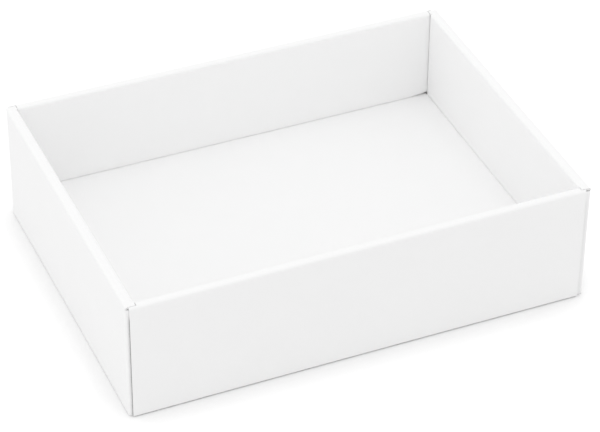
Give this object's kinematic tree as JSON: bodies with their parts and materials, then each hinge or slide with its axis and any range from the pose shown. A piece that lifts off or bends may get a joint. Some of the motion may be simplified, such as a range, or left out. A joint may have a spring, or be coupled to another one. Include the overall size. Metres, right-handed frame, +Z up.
{
  "type": "double-wall carton tray",
  "caption": "Open rectangular carton tray folded from one white sheet, with double walls, flat rims and a floor set above the table.",
  "frame": {"origin": "middle of the footprint, on the table", "axes": "+X along the long front side to the right, +Y from the front to the rear, +Z up"},
  "size_m": [0.315, 0.231, 0.0857],
  "materials": {
    "board": "smooth matt white board"
  },
  "bodies": {
    "root": {"tray": "board"}
  },
  "joints": []
}
